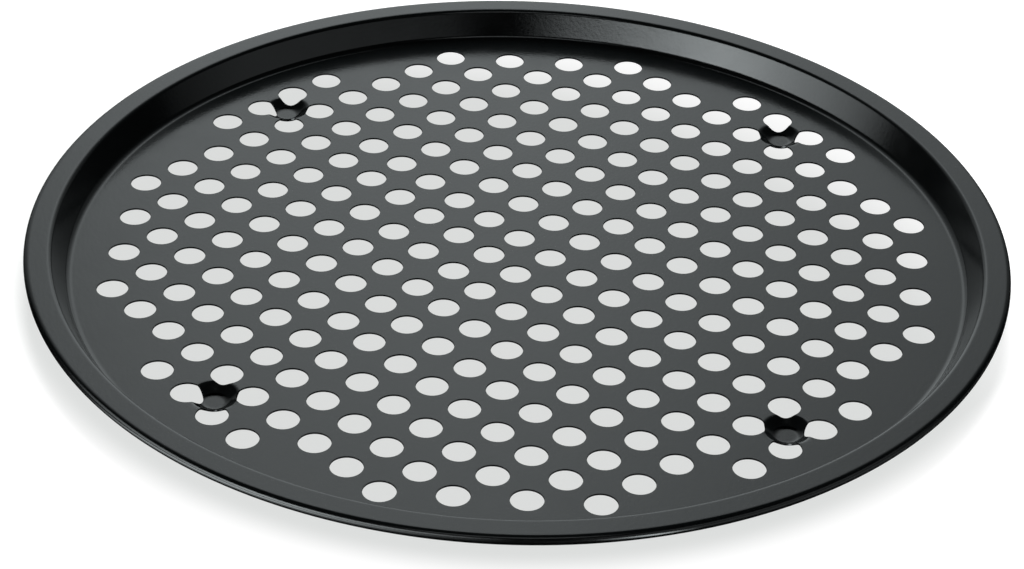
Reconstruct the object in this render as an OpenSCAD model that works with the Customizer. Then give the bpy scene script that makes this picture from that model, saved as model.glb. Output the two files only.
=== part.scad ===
// Perforated pizza pan pressed from one round blank of coated steel sheet.
// The blank is punched on a square grid, then the wall, the flange and the four feet are pressed,
// and the edge is rolled under. Millimetres, +Z up, with z = 0 where the feet stand.

/* [Pan] */
// Overall width across the rolled edge
pan_d = 314; // [260:1:400]
// Thickness of the sheet with its coating
sheet_t = 0.6; // [0.5:0.05:0.9]

/* [Wall] */
// Height of the flange's inner edge above the floor
wall_h = 9.4; // [7:0.2:20]
// Slope of the wall above the floor
wall_angle = 64; // [50:0.5:80]
// Radius of the bend between floor and wall, on its top face
base_bend_r = 2.5; // [1.5:0.1:4]
// Radius of the bend between wall and flange, on its top face
flange_bend_r = 1.8; // [1.2:0.1:3]

/* [Rim] */
// Width of the flange between its bend and the rolled edge
flange_w = 5.7; // [4:0.1:12]
// Rise of the flange towards its outer edge
flange_rise = 0; // [0:0.5:8]
// Outside diameter of the rolled edge
roll_d = 3.4; // [2.8:0.1:5]
// How far round the edge is rolled
roll_turn = 270; // [200:10:290]

/* [Holes] */
// Diameter of each punched hole
hole_d = 10; // [6:0.5:11]
// Distance between neighbouring holes in a row
hole_pitch = 15; // [13.5:0.5:20]
// How far the hole centres stay inside the flat floor's edge
hole_margin = 10; // [8:0.5:16]
// How far the last quarter of the holes was punched inwards, out of line with the rest
punch_slip = 1; // [0:0.1:1.5]

/* [Feet] */
// Width of a pressed foot where it leaves the floor
foot_d = 16; // [14:0.5:20]
// How far a foot stands below the floor's underside
foot_h = 2.6; // [1.6:0.1:3.4]
// Slope of a foot's wall below the floor
foot_angle = 37; // [30:1:50]
// Radius of a foot's shoulder, on its top face
foot_shoulder_r = 2; // [1.2:0.1:3]
// Radius of the bend round a foot's flat bottom, on its top face
foot_toe_r = 3.5; // [2:0.1:4]
// How far a foot sits outside the middle of its four holes
foot_offset = 1; // [0:0.1:2]

/* [Hidden] */
coating_colour = [0.19, 0.2, 0.2];
FOOT_COUNT = 4;
ROUND_FN = 180;
FOOT_FN = 72;
HOLE_FN = 36;
// Most that one chord of a bend turns
BEND_STEP = 10;
SEAM_LAP = 0.5;
CUT_CLEARANCE = 1;

// Straight length of the wall, once its two bends have taken their share of the height
wall_run = (wall_h - (base_bend_r + sheet_t) * (1 - cos(wall_angle))
    - (flange_bend_r - sheet_t) * (cos(flange_rise) - cos(wall_angle))) / sin(wall_angle);
// Width on plan that the two bends and the wall take
wall_w = (base_bend_r + sheet_t) * sin(wall_angle) + wall_run * cos(wall_angle)
    + (flange_bend_r - sheet_t) * (sin(wall_angle) - sin(flange_rise));
roll_r = roll_d / 2;
// Width on plan from the flange's inner edge to the outside of the pan
rim_w = flange_w * cos(flange_rise) + (roll_r - sheet_t) * sin(flange_rise) + roll_r;
floor_r = pan_d / 2 - rim_w - wall_w;
floor_z = foot_h;

// A shallow foot has no straight wall, so its slope stops where its two bends meet
foot_slope = min(foot_angle, acos(1 - foot_h / (foot_toe_r + foot_shoulder_r)));
foot_run = (foot_h - (foot_toe_r + foot_shoulder_r) * (1 - cos(foot_slope))) / sin(foot_slope);
foot_flat_r = foot_d / 2 - (foot_toe_r + foot_shoulder_r) * sin(foot_slope)
    - foot_run * cos(foot_slope);

hole_field_r = floor_r - hole_margin;
hole_rows = ceil(hole_field_r / hole_pitch);
hole_centres = [
    for (column = [-hole_rows : hole_rows - 1], row = [-hole_rows : hole_rows - 1])
        let (place = [column + 0.5, row + 0.5] * hole_pitch)
            if (norm(place) <= hole_field_r) place
];
// Each foot stands on the web inside the outermost pair of holes
foot_ring_r = max([for (place = hole_centres) place.x]) - hole_pitch / 2 + foot_offset;

// The punch set down once for each quarter, and the last time a little too far in
function slip(place) = place.x < 0 && place.y < 0 ? [punch_slip, punch_slip] : [0, 0];

// A strip of sheet seen from its edge is a list of [straight length, bend radius, turn upwards],
// with the radius at the middle of the sheet. Its stations [x, y, heading] follow that middle.
function moved(at, length) = [at.x + length * cos(at.z), at.y + length * sin(at.z), at.z];

function bent(at, r, turn) =
    let (side = sign(turn), chords = ceil(abs(turn) / BEND_STEP))
        [
            for (i = [0 : chords])
                let (heading = at.z + turn * i / max(chords, 1))
                    [
                        at.x + side * r * (sin(heading) - sin(at.z)),
                        at.y - side * r * (cos(heading) - cos(at.z)),
                        heading
                    ]
        ];

function stations(strip, at, i = 0) =
    i == len(strip)
        ? []
        : let (bend = bent(moved(at, strip[i][0]), strip[i][1], strip[i][2]))
            concat([at], bend, stations(strip, bend[len(bend) - 1], i + 1));

// One face of a strip, to the left of its stations with side 1 and to their right with side -1
function strip_face(line, side) = [
    for (at = line) [at.x, at.y] + side * sheet_t / 2 * [-sin(at.z), cos(at.z)]
];

function reversed(points) = [for (i = [len(points) - 1 : -1 : 0]) points[i]];

// Section of a strip that starts at the axis, with its underside at height 0
module strip_section(strip) {
    line = stations(strip, [0, sheet_t / 2, 0]);
    polygon(concat(strip_face(line, 1), reversed(strip_face(line, -1))));
}

// Section of the pressed blank, from its centre out to the end of the rolled edge
module tray_section() {
    strip_section([
        [floor_r, base_bend_r + sheet_t / 2, wall_angle],
        [wall_run, flange_bend_r - sheet_t / 2, flange_rise - wall_angle],
        [flange_w, roll_r - sheet_t / 2, -roll_turn]
    ]);
}

// Section of a foot, from its centre out to a little past its shoulder
module foot_section() {
    strip_section([
        [foot_flat_r, foot_toe_r + sheet_t / 2, foot_slope],
        [foot_run, foot_shoulder_r - sheet_t / 2, -foot_slope],
        [SEAM_LAP, 0, 0]
    ]);
}

// Children repeated at the place of each foot
module at_feet() {
    for (i = [0 : FOOT_COUNT - 1])
        rotate(i * 360 / FOOT_COUNT) translate([foot_ring_r, 0]) children();
}

module pressed_tray() {
    difference() {
        translate([0, 0, floor_z]) rotate_extrude($fn = ROUND_FN) tray_section();
        at_feet() translate([0, 0, floor_z - CUT_CLEARANCE])
            cylinder(d = foot_d, h = sheet_t + 2 * CUT_CLEARANCE, $fn = FOOT_FN);
    }
}

module pressed_feet() {
    at_feet() rotate_extrude($fn = FOOT_FN) foot_section();
}

// One punch for each hole, long enough to pass through a foot's wall as well as the floor
module punches() {
    for (place = hole_centres)
        translate([place.x + slip(place).x, place.y + slip(place).y, -CUT_CLEARANCE])
            cylinder(d = hole_d, h = floor_z + sheet_t + 2 * CUT_CLEARANCE, $fn = HOLE_FN);
}

module pan() {
    color(coating_colour)
        difference() {
            union() {
                pressed_tray();
                pressed_feet();
            }
            punches();
        }
}

pan();
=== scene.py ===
import math

import bmesh
import bpy
from mathutils import Matrix, Vector


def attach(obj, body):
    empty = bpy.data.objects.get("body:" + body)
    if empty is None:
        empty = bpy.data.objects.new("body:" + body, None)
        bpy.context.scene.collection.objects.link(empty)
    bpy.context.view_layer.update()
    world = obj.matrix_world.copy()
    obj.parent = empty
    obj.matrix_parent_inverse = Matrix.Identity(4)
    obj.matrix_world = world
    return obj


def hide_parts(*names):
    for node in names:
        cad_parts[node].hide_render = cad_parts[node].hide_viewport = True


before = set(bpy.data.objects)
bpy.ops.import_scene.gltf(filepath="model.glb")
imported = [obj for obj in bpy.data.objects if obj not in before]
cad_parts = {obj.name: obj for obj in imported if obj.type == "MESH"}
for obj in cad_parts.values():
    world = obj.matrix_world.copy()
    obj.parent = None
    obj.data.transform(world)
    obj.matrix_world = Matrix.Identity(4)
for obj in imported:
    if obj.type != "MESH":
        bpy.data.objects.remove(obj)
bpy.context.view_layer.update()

MM = 0.001

# The sheet
SHEET = 0.6 * MM
# The facets of the solid run just inside its true circle, and so does this edge
PAN_R = 156.95 * MM

# Wall, flange and rolled edge, with each bend's radius on its top face
WALL_H = 9.4 * MM
WALL_ANGLE = math.radians(64)
BASE_BEND_R = 2.5 * MM
FLANGE_BEND_R = 1.8 * MM
FLANGE_W = 5.7 * MM
ROLL_R = 1.7 * MM
ROLL_TURN = math.radians(270)

# Holes
HOLE_R = 5 * MM
PITCH = 15 * MM
HOLE_MARGIN = 10 * MM
PUNCH_SLIP = 1 * MM

# Feet
FOOT_R = 8 * MM
FOOT_H = 2.6 * MM
# The feet stop this far above the ground, so that no rounding off puts them below it
FOOT_CLEAR = 0.002 * MM
FOOT_ANGLE = math.radians(37)
FOOT_SHOULDER_R = 2 * MM
FOOT_TOE_R = 3.5 * MM
FOOT_OFFSET = 1 * MM
FOOT_TURNS = (0, 90, 180, 270)
# How far past a foot's edge the webs are cut finely, and how far past it most finely, with the
# number of cuts in each edge
FOOT_FINE = 2 * MM
FOOT_FINE_CUTS = 3
FOOT_FINEST = 0.5 * MM
FOOT_FINEST_CUTS = 2

# How finely the sheet is drawn
ROUND_SIDES = 240
HOLE_SIDES = 32
SQUARE_CUTS = HOLE_SIDES // 4
BEND_STEP = math.radians(8)
# Level ring of faces that keeps the shading of the floor and the flange flat up to their bends
HOLD = 0.4 * MM
# Width of the rounding on the sheet's cut edges, and how far an edge turns before it gets one
EDGE_ROUND = 0.06 * MM
EDGE_LIMIT = math.radians(60)
# Points closer than this are one point, and level pieces of the studio lie about this far apart
NEAR = 0.02 * MM

# Coating, as linear colours
COAT_DARK = (0.0022, 0.0028, 0.0029, 1)
COAT_LIGHT = (0.0036, 0.0044, 0.0046, 1)
COAT_IOR = 1.42
COAT_ROUGHNESS = (0.15, 0.2)
CLOUD_SIZE = 22 * MM
HAZE_SIZE = 9 * MM
GRAIN_SIZE = 0.5 * MM
GRAIN_DEPTH = 0.01 * MM
PEEL_SIZE = 1.2 * MM
PEEL_DEPTH = 0.02 * MM
# The span in which nearly all of a noise's values lie
NOISE_SPAN = (0.3, 0.7)

# Camera, in millimetres and degrees
CAMERA_PLACE = (583.49, -534.52, 519.09)
CAMERA_AIM = (11.401, -12.416, 3.2)
CAMERA_TILT = 1.804
CAMERA_TURN = -42.4
LENS = 103.07
SENSOR = 36

# Studio: how bright each card is, as pairs of a turn from the camera's side, in degrees, and a level
BACKDROP_LEVELS = (
    (130, 0.05), (139, 0.15), (148, 0.2), (156, 0.4), (164, 0.82), (169, 1.0), (173, 1.22),
    (177, 1.5), (180, 1.7), (184, 1.64), (191, 1.55), (197, 0.85), (212, 0.45), (232, 0.1),
)
SOFTBOX_LEVELS = (
    (-104, 0.2), (-97, 1.6), (-84, 3.5), (-74, 5.0), (-64, 7.0), (-54, 9.4),
    (-43, 8.2), (-33, 6.2), (-22, 4.5), (-11, 2.6), (-3, 0.4),
)
SIDE_CARD_LEVELS = ((14, 0.3), (25, 0.5), (75, 0.5), (100, 0.1))
FRONT_CARD_LEVELS = ((-25, 1.5), (0, 1.2), (25, 1.5))
EDGE_CARD_LEVELS = (
    (-70, 0.05), (-59, 0.4), (-52, 6.0), (-35, 9.5), (-22, 5.8), (-9, 1.0), (0, 0.1), (8, 0.2),
    (14, 0.7), (48, 0.7), (60, 0.3), (80, 0.1),
)
GLINT_CARD_LEVELS = ((10, 0.1), (14, 5.0), (17, 14.0), (19, 8.0), (22, 0.1))
# Standing cards: distance, the angles above the floor of their foot and head and of the place
# from which they have their full level, and their levels
STANDING_CARDS = {
    "backdrop": (3.0, 1, 55, 6, BACKDROP_LEVELS),
    "softbox": (2.5, 5, 30, 6, SOFTBOX_LEVELS),
    "side_card": (2.5, 5, 30, 6, SIDE_CARD_LEVELS),
    "front_card": (1.5, 48, 62, 50, FRONT_CARD_LEVELS),
}
# Lying cards: inner and outer distance, height above the floor, and their levels
LYING_CARDS = {
    "edge_card": (0.162, 0.45, NEAR, EDGE_CARD_LEVELS),
    "glint_card": (0.168, 0.225, 2 * NEAR, GLINT_CARD_LEVELS),
}
BAND_SIDES = 144
CARD_TINT = (0.915, 0.985, 1.0)
# The lamp that casts the pan's shadow towards the camera
FILL_SIZE = 1.2
FILL_PLACE = (-1.306, 1.192, 2.107)
FILL_LEVEL = 22
SKY_LEVEL = 0.2
FLAG_DISTANCE = 6.0
FLAG_FOOT = -1.2
FLAG_LEVEL = 0.003
WHITE = (1, 1, 1, 1)
BLACK = (0, 0, 0, 1)
# The paper's own colour, its darker colour to the eye, and its glow to the eye in the painted shade
PAPER = (0.9, 0.9, 0.9, 1)
PAPER_SEEN = (0.3, 0.3, 0.3, 1)
PAPER_GLOW_IN_PAINTED_SHADE = (0.705, 0.718, 0.711, 1)
# Two discs whose overlap is the paper's pool of painted shade: middle, radius, half-width of the edge
PAINTED_SHADE_DISCS = (((-0.009, 0.0075, 0), 0.166, 0.007), ((0.02, -0.093, 0), 0.212, 0.03))
SHADOW_CARD_R = 0.137
SHADOW_CARD_Z = 1 * MM
ROOM_SIZE = 12
STUDIO_SIDES = 64
TABLE_ROUGHNESS = 0.15

FLOOR_TOP = FOOT_H + SHEET
WALL_RUN = (
    WALL_H
    - (BASE_BEND_R + SHEET) * (1 - math.cos(WALL_ANGLE))
    - (FLANGE_BEND_R - SHEET) * (1 - math.cos(WALL_ANGLE))
) / math.sin(WALL_ANGLE)
WALL_W = (
    (BASE_BEND_R + SHEET) * math.sin(WALL_ANGLE)
    + WALL_RUN * math.cos(WALL_ANGLE)
    + (FLANGE_BEND_R - SHEET) * math.sin(WALL_ANGLE)
)
RIM_W = FLANGE_W + ROLL_R
FLOOR_R = PAN_R - RIM_W - WALL_W
FIELD_R = FLOOR_R - HOLE_MARGIN
ROWS = math.ceil(FIELD_R / PITCH)


def moved(at, length):
    """The station [radius, height, heading] that lies a straight length further on."""
    return (at[0] + length * math.cos(at[2]), at[1] + length * math.sin(at[2]), at[2])


def bend(at, radius, turn):
    """Stations along a bend of the sheet, turning upwards where turn is positive."""
    side = math.copysign(1, turn)
    steps = math.ceil(abs(turn) / BEND_STEP)
    stations = []
    for i in range(1, steps + 1):
        heading = at[2] + turn * i / steps
        stations.append(
            (
                at[0] + side * radius * (math.sin(heading) - math.sin(at[2])),
                at[1] - side * radius * (math.cos(heading) - math.cos(at[2])),
                heading,
            )
        )
    return stations


def rim_stations():
    """The top face of wall, flange and rolled edge, from the floor's edge outwards."""
    at = (FLOOR_R, FLOOR_TOP, 0.0)
    stations = [at]
    stations += bend(at, BASE_BEND_R, WALL_ANGLE)
    stations.append(moved(stations[-1], WALL_RUN))
    stations += bend(stations[-1], FLANGE_BEND_R, -WALL_ANGLE)
    stations.append(moved(stations[-1], HOLD))
    stations.append(moved(stations[-1], FLANGE_W - 2 * HOLD))
    stations.append(moved(stations[-1], HOLD))
    stations += bend(stations[-1], ROLL_R, -ROLL_TURN)
    return stations


def hole_centres():
    """Where the holes would stand if the whole grid were in line."""
    marks = [(i + 0.5) * PITCH for i in range(-ROWS, ROWS)]
    return [Vector((x, y)) for x in marks for y in marks if math.hypot(x, y) <= FIELD_R]


def edit(piece):
    """Goes into edit mode on one piece alone, with nothing on it selected."""
    bpy.ops.object.select_all(action="DESELECT")
    piece.select_set(True)
    bpy.context.view_layer.objects.active = piece
    bpy.ops.object.mode_set(mode="EDIT")
    bpy.ops.mesh.select_all(action="DESELECT")


def done():
    bpy.ops.object.mode_set(mode="OBJECT")


def pick(piece, test, kind="VERT"):
    """Selects the vertices, edges or faces of the piece in edit mode that pass the test."""
    bpy.ops.mesh.select_mode(type=kind)
    mesh = bmesh.from_edit_mesh(piece.data)
    parts = {"VERT": mesh.verts, "EDGE": mesh.edges, "FACE": mesh.faces}[kind]
    for part in parts:
        part.select_set(bool(test(part)))
    mesh.select_flush_mode()
    bmesh.update_edit_mesh(piece.data)


def cell_of(x, y):
    """The middle of the grid square that a point of the floor lies in."""
    return Vector(((math.floor(x / PITCH) + 0.5) * PITCH, (math.floor(y / PITCH) + 0.5) * PITCH))


def on_grid_line(point):
    """True on the lines between the squares, where no hole reaches."""
    return any(abs(c - PITCH * round(c / PITCH)) < NEAR for c in (point.x, point.y))


def foot_places():
    ring = max(centre.x for centre in hole_centres()) - PITCH / 2 + FOOT_OFFSET
    return [Vector((ring, 0)) @ Matrix.Rotation(math.radians(turn), 2) for turn in FOOT_TURNS]


def from_foot(point):
    """Distance on plan from a point to the middle of the nearest foot."""
    return min((point.xy - place).length for place in foot_places())


def foot_drop(distance):
    """How far a foot's top face lies below the floor, at a distance from its middle."""
    bends = FOOT_TOE_R + FOOT_SHOULDER_R
    run = (FOOT_H - bends * (1 - math.cos(FOOT_ANGLE))) / math.sin(FOOT_ANGLE)
    shoulder_w = FOOT_SHOULDER_R * math.sin(FOOT_ANGLE)
    flat_r = FOOT_R - bends * math.sin(FOOT_ANGLE) - run * math.cos(FOOT_ANGLE)
    toe_end = flat_r + FOOT_TOE_R * math.sin(FOOT_ANGLE)
    if distance >= FOOT_R:
        return 0.0
    if distance >= FOOT_R - shoulder_w:
        return FOOT_SHOULDER_R - math.sqrt(FOOT_SHOULDER_R**2 - (FOOT_R - distance) ** 2)
    if distance >= toe_end:
        shoulder_drop = FOOT_SHOULDER_R * (1 - math.cos(FOOT_ANGLE))
        return shoulder_drop + (FOOT_R - shoulder_w - distance) * math.tan(FOOT_ANGLE)
    if distance >= flat_r:
        return FOOT_H - FOOT_TOE_R + math.sqrt(FOOT_TOE_R**2 - (distance - flat_r) ** 2)
    return FOOT_H


def punched_square():
    """One square of the grid with its hole, in the grid's first corner."""
    corner = (0.5 - ROWS) * PITCH
    place = (corner, corner, FLOOR_TOP)
    bpy.ops.object.select_all(action="DESELECT")
    bpy.ops.mesh.primitive_grid_add(
        x_subdivisions=SQUARE_CUTS, y_subdivisions=SQUARE_CUTS, size=PITCH, location=place
    )
    square = bpy.context.object
    square.name = "pan_sheet"
    bpy.ops.object.transform_apply(location=True, rotation=True, scale=True)
    edit(square)
    pick(square, lambda vert: not on_grid_line(vert.co))
    bpy.ops.mesh.delete(type="VERT")
    bpy.ops.mesh.primitive_circle_add(vertices=HOLE_SIDES, radius=HOLE_R, location=place)
    bpy.ops.mesh.select_all(action="SELECT")
    bpy.ops.mesh.bridge_edge_loops()
    done()
    return square


def add_and_apply(piece, kind, **settings):
    """Adds a modifier with its settings to a piece and applies it."""
    modifier = piece.modifiers.new(kind.lower(), kind)
    for name, value in settings.items():
        setattr(modifier, name, value)
    bpy.ops.object.select_all(action="DESELECT")
    piece.select_set(True)
    bpy.context.view_layer.objects.active = piece
    bpy.ops.object.modifier_apply(modifier=modifier.name)


def repeat(piece, offset):
    """Rows of the same square, joined along their shared lines."""
    add_and_apply(
        piece,
        "ARRAY",
        count=2 * ROWS,
        use_relative_offset=False,
        use_constant_offset=True,
        constant_offset_displace=offset,
        use_merge_vertices=True,
        merge_threshold=NEAR,
    )


def punch_field(floor):
    """Keeps the squares whose holes were punched, and sets one quarter of the holes inwards."""
    edit(floor)
    pick(floor, lambda face: cell_of(*face.calc_center_median().xy).length > FIELD_R, "FACE")
    bpy.ops.mesh.delete(type="FACE")
    pick(floor, lambda vert: vert.co.x < 0 and vert.co.y < 0 and not on_grid_line(vert.co))
    bpy.ops.transform.translate(value=(PUNCH_SLIP, PUNCH_SLIP, 0))
    done()


def refine_at_feet(floor):
    """Cuts the webs round each foot finely enough to be pressed."""
    edit(floor)

    def runs_out_from_a_hole(edge):
        ends = [on_grid_line(vert.co) for vert in edge.verts]
        middle = (edge.verts[0].co + edge.verts[1].co) / 2
        return ends[0] != ends[1] and from_foot(middle) < FOOT_R + FOOT_FINE

    pick(floor, runs_out_from_a_hole, "EDGE")
    bpy.ops.mesh.subdivide(number_cuts=FOOT_FINE_CUTS)
    pick(floor, lambda face: from_foot(face.calc_center_median()) < FOOT_R + FOOT_FINEST, "FACE")
    bpy.ops.mesh.subdivide(number_cuts=FOOT_FINEST_CUTS)
    done()


def press_feet(floor):
    """Presses each foot down by its own section, so that the holes' edges run down with it."""
    edit(floor)
    mesh = bmesh.from_edit_mesh(floor.data)
    for vert in mesh.verts:
        vert.co.z -= min(foot_drop(from_foot(vert.co)), FOOT_H - FOOT_CLEAR)
    bmesh.update_edit_mesh(floor.data)
    done()


def add_rim(sheet):
    """Extrudes wall, flange and rolled edge out of the floor's edge, one loop for each station."""
    edit(sheet)
    at = (FLOOR_R - HOLD, FLOOR_TOP)
    bpy.ops.mesh.primitive_circle_add(vertices=ROUND_SIDES, radius=at[0], location=(0, 0, at[1]))
    for radius, height, _ in rim_stations():
        bpy.ops.mesh.extrude_edges_move(TRANSFORM_OT_translate={"value": (0, 0, height - at[1])})
        grown = radius / at[0]
        bpy.ops.transform.resize(value=(grown, grown, 1), center_override=(0, 0, height))
        at = (radius, height)
    done()


def fill_border(sheet):
    """Closes the plain strip between the outermost squares and the rim."""
    edit(sheet)

    def on_border(edge):
        if not edge.is_boundary:
            return False
        ends = [vert.co for vert in edge.verts]
        on_floor = all(abs(end.z - FLOOR_TOP) < NEAR for end in ends)
        at_rim = all(abs(end.xy.length - FLOOR_R + HOLD) < NEAR for end in ends)
        return at_rim or (on_floor and all(on_grid_line(end) for end in ends))

    pick(sheet, on_border, "EDGE")
    bpy.ops.mesh.fill()
    bpy.ops.mesh.select_all(action="SELECT")
    bpy.ops.mesh.remove_doubles(threshold=NEAR / 2)
    bpy.ops.mesh.normals_make_consistent(inside=False)
    done()
    level = [face for face in sheet.data.polygons if abs(face.center.z - FLOOR_TOP) < NEAR]
    if sum(face.normal.z for face in level) < 0:
        edit(sheet)
        bpy.ops.mesh.select_all(action="SELECT")
        bpy.ops.mesh.flip_normals()
        done()


def pan_sheet():
    """The whole pan: one sheet, punched, pressed and rolled."""
    sheet = punched_square()
    repeat(sheet, (PITCH, 0, 0))
    repeat(sheet, (0, PITCH, 0))
    punch_field(sheet)
    refine_at_feet(sheet)
    add_rim(sheet)
    fill_border(sheet)
    press_feet(sheet)
    edit(sheet)
    bpy.ops.mesh.select_all(action="SELECT")
    bpy.ops.mesh.faces_shade_smooth()
    done()
    add_and_apply(sheet, "SOLIDIFY", thickness=SHEET, offset=-1, use_even_offset=True)
    add_and_apply(
        sheet,
        "BEVEL",
        width=EDGE_ROUND,
        segments=1,
        limit_method="ANGLE",
        angle_limit=EDGE_LIMIT,
        harden_normals=True,
    )
    return sheet


def new_material(name):
    """An empty material, with its nodes and links."""
    material = bpy.data.materials.new(name)
    material.use_nodes = True
    material.node_tree.nodes.clear()
    return material, material.node_tree.nodes, material.node_tree.links


def put_on(piece, material):
    piece.data.materials.clear()
    piece.data.materials.append(material)


def fine_noise(nodes, links, vector, size, detail):
    """Noise whose grains are about this size, in metres."""
    noise = nodes.new("ShaderNodeTexNoise")
    noise.inputs["Scale"].default_value = 1 / size
    noise.inputs["Detail"].default_value = detail
    links.new(vector, noise.inputs["Vector"])
    return noise.outputs["Fac"]


def spread(nodes, links, value, low, high):
    """Takes a noise from its usual span to a value between low and high."""
    span = nodes.new("ShaderNodeMapRange")
    span.inputs["From Min"].default_value = NOISE_SPAN[0]
    span.inputs["From Max"].default_value = NOISE_SPAN[1]
    span.inputs["To Min"].default_value = low
    span.inputs["To Max"].default_value = high
    links.new(value, span.inputs["Value"])
    return span.outputs["Result"]


def coating():
    """Dark non-stick coating: sprayed and baked, satin, with a trace of orange peel and grain."""
    material, nodes, links = new_material("non_stick_coating")
    place = nodes.new("ShaderNodeTexCoord").outputs["Object"]
    shader = nodes.new("ShaderNodeBsdfPrincipled")
    output = nodes.new("ShaderNodeOutputMaterial")
    shader.inputs["IOR"].default_value = COAT_IOR

    cloud = fine_noise(nodes, links, place, CLOUD_SIZE, detail=3)
    tint = nodes.new("ShaderNodeMix")
    tint.data_type = "RGBA"
    tint.inputs["A"].default_value = COAT_DARK
    tint.inputs["B"].default_value = COAT_LIGHT
    links.new(cloud, tint.inputs["Factor"])
    links.new(tint.outputs["Result"], shader.inputs["Base Color"])

    haze = fine_noise(nodes, links, place, HAZE_SIZE, detail=3)
    links.new(spread(nodes, links, haze, *COAT_ROUGHNESS), shader.inputs["Roughness"])

    peel = nodes.new("ShaderNodeBump")
    peel.inputs["Distance"].default_value = PEEL_DEPTH
    links.new(fine_noise(nodes, links, place, PEEL_SIZE, detail=1), peel.inputs["Height"])
    grain = nodes.new("ShaderNodeBump")
    grain.inputs["Distance"].default_value = GRAIN_DEPTH
    links.new(fine_noise(nodes, links, place, GRAIN_SIZE, detail=2), grain.inputs["Height"])
    links.new(peel.outputs["Normal"], grain.inputs["Normal"])
    links.new(grain.outputs["Normal"], shader.inputs["Normal"])
    links.new(shader.outputs["BSDF"], output.inputs["Surface"])
    return material


def seen_rays(nodes, links):
    """1 where a ray comes from the eye, off a glossy face or through glass, and 0 for diffuse light."""
    path = nodes.new("ShaderNodeLightPath")
    seen = path.outputs["Is Camera Ray"]
    for kind in ("Is Glossy Ray", "Is Transmission Ray"):
        either = nodes.new("ShaderNodeMath")
        either.operation = "MAXIMUM"
        links.new(seen, either.inputs[0])
        links.new(path.outputs[kind], either.inputs[1])
        seen = either.outputs["Value"]
    return seen


def beyond_disc(nodes, links, place, middle, radius, soft):
    """0 inside a disc on the paper and 1 outside it."""
    away = nodes.new("ShaderNodeVectorMath")
    away.operation = "DISTANCE"
    away.inputs[1].default_value = middle
    edge = nodes.new("ShaderNodeMapRange")
    edge.interpolation_type = "SMOOTHSTEP"
    edge.inputs["From Min"].default_value = radius - soft
    edge.inputs["From Max"].default_value = radius + soft
    links.new(place, away.inputs[0])
    links.new(away.outputs["Value"], edge.inputs["Value"])
    return edge.outputs["Result"]


def paper():
    """
    White paper under the pan. It glows to the eye, but its glow is painted darker in a pool under
    the pan, a painted shade; the pan's real shadow shows there too.
    """
    material, nodes, links = new_material("white_paper")
    shader = nodes.new("ShaderNodeBsdfPrincipled")
    output = nodes.new("ShaderNodeOutputMaterial")
    seen = seen_rays(nodes, links)
    tone = nodes.new("ShaderNodeMix")
    tone.data_type = "RGBA"
    tone.inputs["A"].default_value = PAPER
    tone.inputs["B"].default_value = PAPER_SEEN
    links.new(seen, tone.inputs["Factor"])
    links.new(tone.outputs["Result"], shader.inputs["Base Color"])
    shader.inputs["Roughness"].default_value = 1.0
    shader.inputs["Specular IOR Level"].default_value = 0.0
    place = nodes.new("ShaderNodeTexCoord").outputs["Object"]
    # Painted shade: the paper's glow is darker inside both discs and white outside them
    outside_painted_shade = nodes.new("ShaderNodeMath")
    outside_painted_shade.operation = "MAXIMUM"
    for disc, socket in zip(PAINTED_SHADE_DISCS, outside_painted_shade.inputs):
        links.new(beyond_disc(nodes, links, place, *disc), socket)
    glow = nodes.new("ShaderNodeMix")
    glow.data_type = "RGBA"
    glow.inputs["A"].default_value = PAPER_GLOW_IN_PAINTED_SHADE
    glow.inputs["B"].default_value = WHITE
    links.new(outside_painted_shade.outputs["Value"], glow.inputs["Factor"])
    links.new(glow.outputs["Result"], shader.inputs["Emission Color"])
    links.new(seen, shader.inputs["Emission Strength"])
    links.new(shader.outputs["BSDF"], output.inputs["Surface"])
    return material


def ground(name, height):
    """A level plane as wide as the studio."""
    bpy.ops.object.select_all(action="DESELECT")
    bpy.ops.mesh.primitive_plane_add(size=ROOM_SIZE, location=(0, 0, height))
    plane = bpy.context.object
    plane.name = name
    bpy.ops.object.transform_apply(location=True, rotation=True, scale=True)
    return plane


def add_floor():
    floor = ground("studio_floor", -NEAR)
    put_on(floor, paper())


def only_reflected(piece):
    """Leaves a piece of the studio to reflections alone."""
    piece.visible_camera = False
    piece.visible_diffuse = False
    piece.visible_shadow = False


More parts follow.
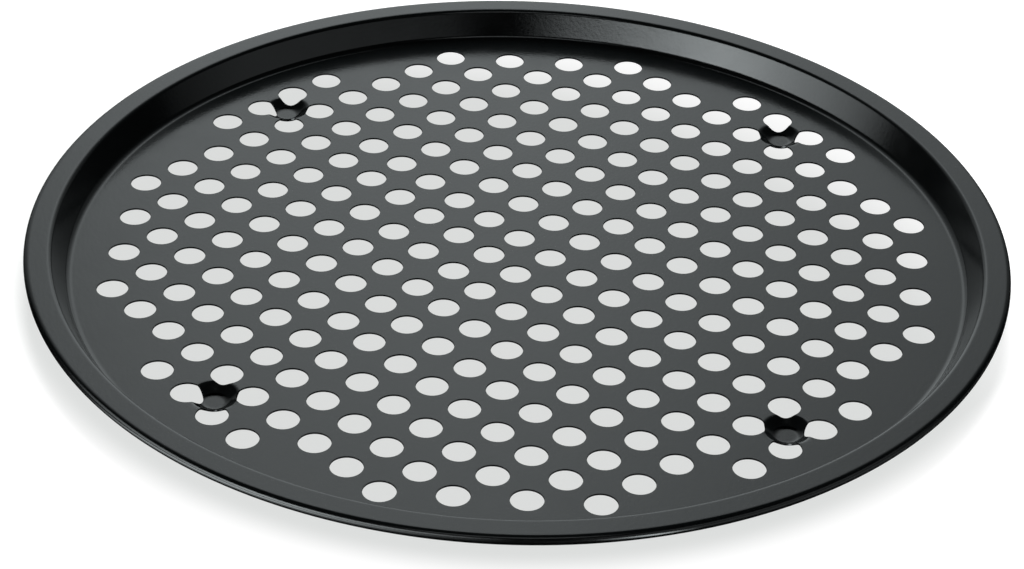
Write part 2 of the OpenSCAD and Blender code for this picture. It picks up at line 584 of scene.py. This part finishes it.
def add_band(name, foot, head, levels, full):
    """
    A band of light round the pan, from one (distance, height) to another, which reaches its full
    level at the height given last. Its levels are (turn, level) pairs, and turns go anticlockwise.
    """
    bpy.ops.object.select_all(action="DESELECT")
    bpy.ops.mesh.primitive_cone_add(
        vertices=BAND_SIDES,
        radius1=foot[0],
        radius2=head[0],
        depth=head[1] - foot[1],
        end_fill_type="NOTHING",
        location=(0, 0, (head[1] + foot[1]) / 2),
    )
    band = bpy.context.object
    band.name = name
    bpy.ops.object.transform_apply(location=True, rotation=True, scale=True)
    start, end = levels[0][0], levels[-1][0]

    def outside(face):
        middle = face.calc_center_median()
        turn = math.degrees(math.atan2(middle.y, middle.x)) - CAMERA_TURN
        return not 0 <= (turn - start) % 360 <= end - start

    edit(band)
    pick(band, outside, "FACE")
    bpy.ops.mesh.delete(type="FACE")
    done()

    material, nodes, links = new_material(name)
    place = nodes.new("ShaderNodeTexCoord").outputs["Object"]
    turn = nodes.new("ShaderNodeMapping")
    turn.inputs["Rotation"].default_value = (0, 0, -math.radians(CAMERA_TURN + start) - math.pi)
    round_it = nodes.new("ShaderNodeTexGradient")
    round_it.gradient_type = "RADIAL"
    ramp = nodes.new("ShaderNodeValToRGB")
    light = nodes.new("ShaderNodeEmission")
    output = nodes.new("ShaderNodeOutputMaterial")
    peak = max(level for _, level in levels)
    stops = ramp.color_ramp.elements
    while len(stops) < len(levels):
        stops.new(0.5)
    for stop, (at, level) in zip(stops, levels):
        stop.position = (at - start) / 360
        stop.color = [level / peak * part for part in CARD_TINT] + [1]
    height = nodes.new("ShaderNodeSeparateXYZ")
    rise = nodes.new("ShaderNodeMapRange")
    rise.inputs["From Min"].default_value = foot[1]
    rise.inputs["From Max"].default_value = full
    rise.inputs["To Max"].default_value = peak
    links.new(place, height.inputs["Vector"])
    links.new(height.outputs["Z"], rise.inputs["Value"])
    links.new(rise.outputs["Result"], light.inputs["Strength"])
    links.new(place, turn.inputs["Vector"])
    links.new(turn.outputs["Vector"], round_it.inputs["Vector"])
    links.new(round_it.outputs["Fac"], ramp.inputs["Fac"])
    links.new(ramp.outputs["Color"], light.inputs["Color"])
    links.new(light.outputs["Emission"], output.inputs["Surface"])
    put_on(band, material)
    only_reflected(band)


def add_standing_card(name, distance, low, high, full, levels):
    """An upright band of light whose heights are given as angles above the floor."""
    foot, head, whole = (distance * math.tan(math.radians(angle)) for angle in (low, high, full))
    add_band(name, (distance, foot), (distance, head), levels, whole)


def add_lying_card(name, inner, outer, height, levels):
    """A band of light that lies almost flat, at its full level from a tenth of its slight rise."""
    add_band(name, (inner, height), (outer, height + NEAR), levels, height + NEAR / 10)


def add_fill():
    """A wide lamp, high behind the pan, that casts its shadow and is in no reflection."""
    lamp = bpy.data.lights.new("overhead_fill", "AREA")
    lamp.shape = "SQUARE"
    lamp.size = FILL_SIZE
    lamp.energy = FILL_LEVEL * math.pi * FILL_SIZE**2
    fill = bpy.data.objects.new("overhead_fill", lamp)
    bpy.context.collection.objects.link(fill)
    fill.location = FILL_PLACE
    fill.rotation_euler = (-Vector(FILL_PLACE)).to_track_quat("-Z", "Y").to_euler()
    fill.visible_camera = False
    fill.visible_glossy = False


def add_shadow_card():
    """A card under the pan that keeps spots of light off the paper below the holes."""
    bpy.ops.object.select_all(action="DESELECT")
    bpy.ops.mesh.primitive_circle_add(
        vertices=STUDIO_SIDES,
        radius=SHADOW_CARD_R,
        fill_type="NGON",
        location=(0, 0, SHADOW_CARD_Z),
    )
    card = bpy.context.object
    card.name = "shadow_card"
    bpy.ops.object.transform_apply(location=True, rotation=True, scale=True)
    material, nodes, links = new_material("shadow_card")
    shader = nodes.new("ShaderNodeBsdfDiffuse")
    output = nodes.new("ShaderNodeOutputMaterial")
    shader.inputs["Color"].default_value = BLACK
    links.new(shader.outputs["BSDF"], output.inputs["Surface"])
    put_on(card, material)
    card.visible_camera = False
    card.visible_glossy = False
    card.visible_transmission = False


def add_table():
    """The dark glossy table that the pan's edges reflect in place of the paper."""
    table = ground("dark_table", -NEAR / 2)
    material, nodes, links = new_material("dark_table")
    shader = nodes.new("ShaderNodeBsdfPrincipled")
    output = nodes.new("ShaderNodeOutputMaterial")
    shader.inputs["Base Color"].default_value = COAT_DARK
    shader.inputs["Roughness"].default_value = TABLE_ROUGHNESS
    links.new(shader.outputs["BSDF"], output.inputs["Surface"])
    put_on(table, material)
    only_reflected(table)


def add_flags():
    """Black cloth over the studio, which only reflections see."""
    bpy.ops.object.select_all(action="DESELECT")
    bpy.ops.mesh.primitive_uv_sphere_add(
        segments=STUDIO_SIDES, ring_count=STUDIO_SIDES // 2, radius=FLAG_DISTANCE
    )
    flags = bpy.context.object
    flags.name = "black_flags"
    edit(flags)
    pick(flags, lambda face: face.calc_center_median().z < FLAG_FOOT, "FACE")
    bpy.ops.mesh.delete(type="FACE")
    done()
    material, nodes, links = new_material("black_cloth")
    cloth = nodes.new("ShaderNodeEmission")
    output = nodes.new("ShaderNodeOutputMaterial")
    cloth.inputs["Strength"].default_value = FLAG_LEVEL
    links.new(cloth.outputs["Emission"], output.inputs["Surface"])
    put_on(flags, material)
    only_reflected(flags)


def add_world():
    """Light grey where it is seen past the paper's edge, and a low even light on the surfaces."""
    world = bpy.data.worlds.new("studio")
    bpy.context.scene.world = world
    world.use_nodes = True
    nodes, links = world.node_tree.nodes, world.node_tree.links
    nodes.clear()
    sky = nodes.new("ShaderNodeBackground")
    output = nodes.new("ShaderNodeOutputWorld")
    level = nodes.new("ShaderNodeMapRange")
    level.inputs["To Min"].default_value = SKY_LEVEL
    level.inputs["To Max"].default_value = 1.0
    links.new(seen_rays(nodes, links), level.inputs["Value"])
    links.new(level.outputs["Result"], sky.inputs["Strength"])
    links.new(sky.outputs["Background"], output.inputs["Surface"])


def add_camera():
    data = bpy.data.cameras.new("camera")
    data.sensor_width = SENSOR
    data.lens = LENS
    camera = bpy.data.objects.new("camera", data)
    bpy.context.collection.objects.link(camera)
    place, aim = Vector(CAMERA_PLACE) * MM, Vector(CAMERA_AIM) * MM
    look = (aim - place).to_track_quat("-Z", "Y").to_matrix().to_4x4()
    tilt = Matrix.Rotation(math.radians(CAMERA_TILT), 4, "Z")
    camera.matrix_world = Matrix.Translation(place) @ look @ tilt
    bpy.context.scene.camera = camera


pan = pan_sheet()
put_on(pan, coating())
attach(pan, "root")
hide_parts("pan")

add_floor()
for name, card in STANDING_CARDS.items():
    add_standing_card(name, *card)
for name, card in LYING_CARDS.items():
    add_lying_card(name, *card)
add_fill()
add_shadow_card()
add_table()
add_flags()
add_world()
add_camera()
bpy.context.scene.view_settings.view_transform = "Standard"
